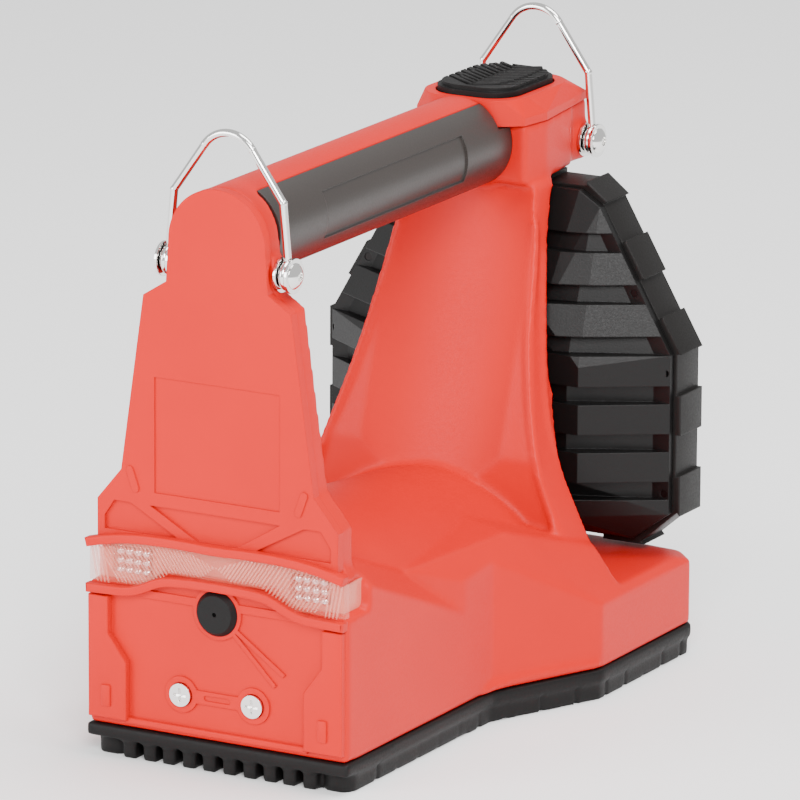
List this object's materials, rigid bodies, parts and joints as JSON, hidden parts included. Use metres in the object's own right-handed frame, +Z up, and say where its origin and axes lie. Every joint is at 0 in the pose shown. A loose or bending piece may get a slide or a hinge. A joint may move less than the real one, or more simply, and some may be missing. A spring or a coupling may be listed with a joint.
{
  "type": "firefighter lantern",
  "caption": "Carrying lantern with a swivelling lamp head, top handle with push switch, tail light and strap rings.",
  "frame": {"origin": "middle of the footprint, on the floor", "axes": "+Z up, +Y towards the charging face, the beam shines towards -Y, +X to the lantern's own left seen from behind"},
  "size_m": [0.1536, 0.2466, 0.2415],
  "materials": {
    "orange_abs": "fine satin moulded",
    "black_nylon": "moulded semi-gloss",
    "black_rubber": "satin moulded",
    "clear_silicone": "milky, soft",
    "clear_polycarbonate": "clear, prismatic inside",
    "chromed_steel": "polished",
    "zinc_steel": "zinc plated",
    "brass": "machined",
    "circuit_board": "solder mask",
    "led_phosphor": "matt",
    "metallised_reflector": "vacuum metallised",
    "cell_wrap": "shrink film"
  },
  "bodies": {
    "housing": {"housing_left": "orange_abs", "housing_right": "orange_abs", "rear_cover": "orange_abs", "charge_panel": "orange_abs", "tail_lens": "clear_polycarbonate", "tail_gasket": "clear_silicone", "tail_leds": "circuit_board", "charge_contacts": "chromed_steel", "contact_leaves": "brass", "grip_left": "black_rubber", "grip_right": "black_rubber", "base_boot": "black_rubber", "foot_screws": "zinc_steel", "base_plate": "black_nylon", "ring_screws": "chromed_steel", "ring_washers": "chromed_steel", "ring_inserts": "brass", "switch_cap": "orange_abs", "switch_body": "black_nylon", "pivot_pins": "zinc_steel", "swivel_washer": "zinc_steel", "battery_pack": "cell_wrap", "battery_terminals": "brass", "main_board": "circuit_board", "housing_screws": "zinc_steel"},
    "head": {"head_shell": "black_nylon", "bezel_ring": "black_nylon", "front_lens": "clear_polycarbonate", "lens_gasket": "black_rubber", "reflector": "metallised_reflector", "led_board": "circuit_board", "led_emitters": "led_phosphor", "bezel_screws": "zinc_steel", "pivot_bushes": "brass"},
    "rear_ring": {"d_ring_rear": "chromed_steel"},
    "front_ring": {"d_ring_front": "chromed_steel"},
    "switch_pad": {"switch_boot": "black_rubber", "switch_plunger": "black_nylon"},
    "plug": {"port_plug": "black_rubber"}
  },
  "joints": [
    {"name": "head_swivel", "type": "hinge", "parent": "housing", "child": "head", "pos_m": [0, -0.09075, 0.112], "axis": [0, 0, 1], "range_deg": [-15, 15]},
    {"name": "rear_ring_swing", "type": "hinge", "parent": "housing", "child": "rear_ring", "pos_m": [0, 0.11275, 0.187], "axis": [1, 0, 0], "range_deg": [-123, 45]},
    {"name": "front_ring_swing", "type": "hinge", "parent": "housing", "child": "front_ring", "pos_m": [0, -0.11675, 0.191], "axis": [1, 0, 0], "range_deg": [-23, 165]},
    {"name": "switch_press", "type": "slide", "parent": "housing", "child": "switch_pad", "axis": [0, 0, -1], "range_m": [0, 0.002], "stiffness_N_per_m": 1500},
    {"name": "plug_pull", "type": "slide", "parent": "housing", "child": "plug", "axis": [0, 1, 0], "range_m": [0, 0.012]}
  ]
}
